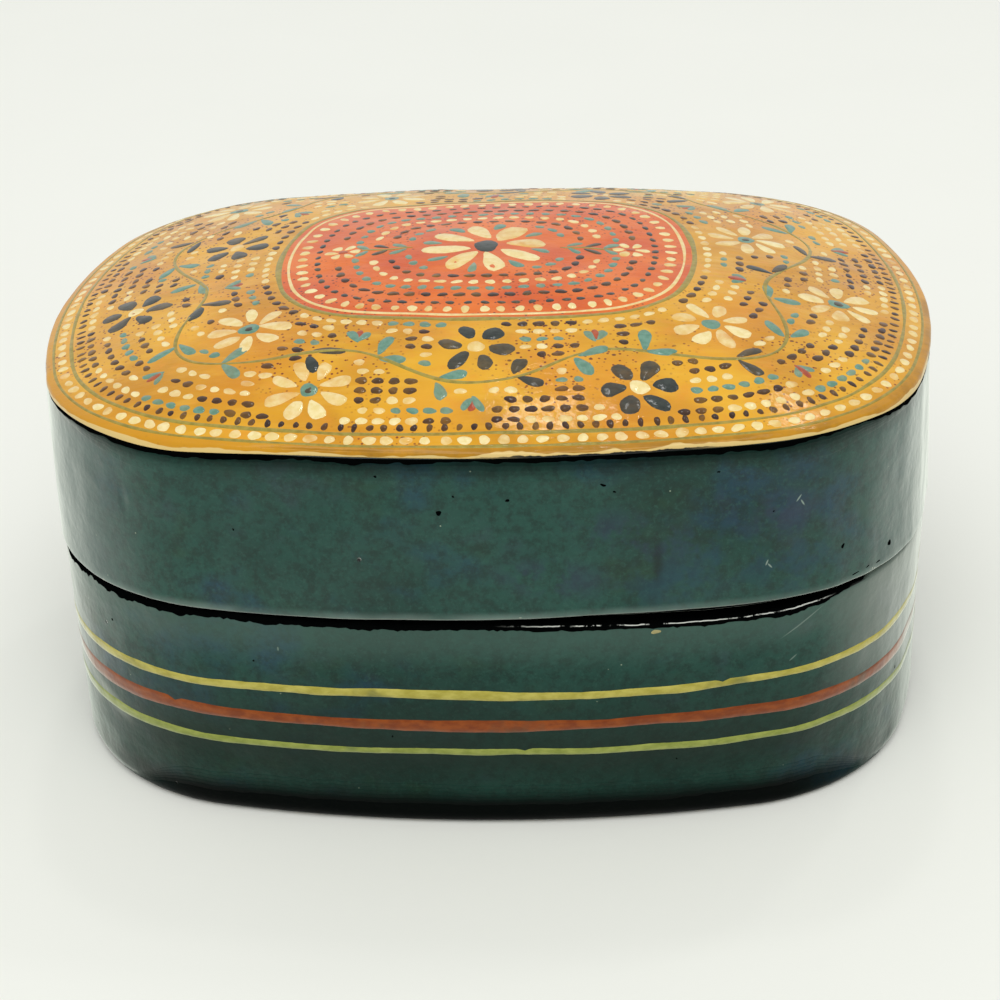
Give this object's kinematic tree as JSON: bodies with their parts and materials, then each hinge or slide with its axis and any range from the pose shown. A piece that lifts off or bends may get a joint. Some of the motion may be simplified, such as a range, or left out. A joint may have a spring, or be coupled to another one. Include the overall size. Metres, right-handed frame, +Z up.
{
  "type": "trinket box",
  "caption": "Oval papier-mache trinket box: low lacquered base with painted stripes, inner collar, and a lift-off lid with a gently domed, hand-painted top.",
  "frame": {"origin": "middle of the box's underside, on the surface that it stands on", "axes": "+Z up, the way the lid lifts; +X along the long side, to the right as seen from the front; +Y from the front long side to the back one"},
  "size_m": [0.127, 0.097, 0.0654],
  "materials": {
    "green_lacquer": "gloss",
    "black_lacquer": "gloss",
    "ochre_paint": "gloss"
  },
  "bodies": {
    "base": {"base_wall": "green_lacquer", "base_floor": "black_lacquer", "collar": "black_lacquer"},
    "lid": {"lid_wall": "green_lacquer", "lid_cap": "ochre_paint"}
  },
  "joints": [
    {"name": "lid_lift", "type": "slide", "parent": "base", "child": "lid", "axis": [0, 0, 1], "range_m": [0, 0.07]}
  ]
}
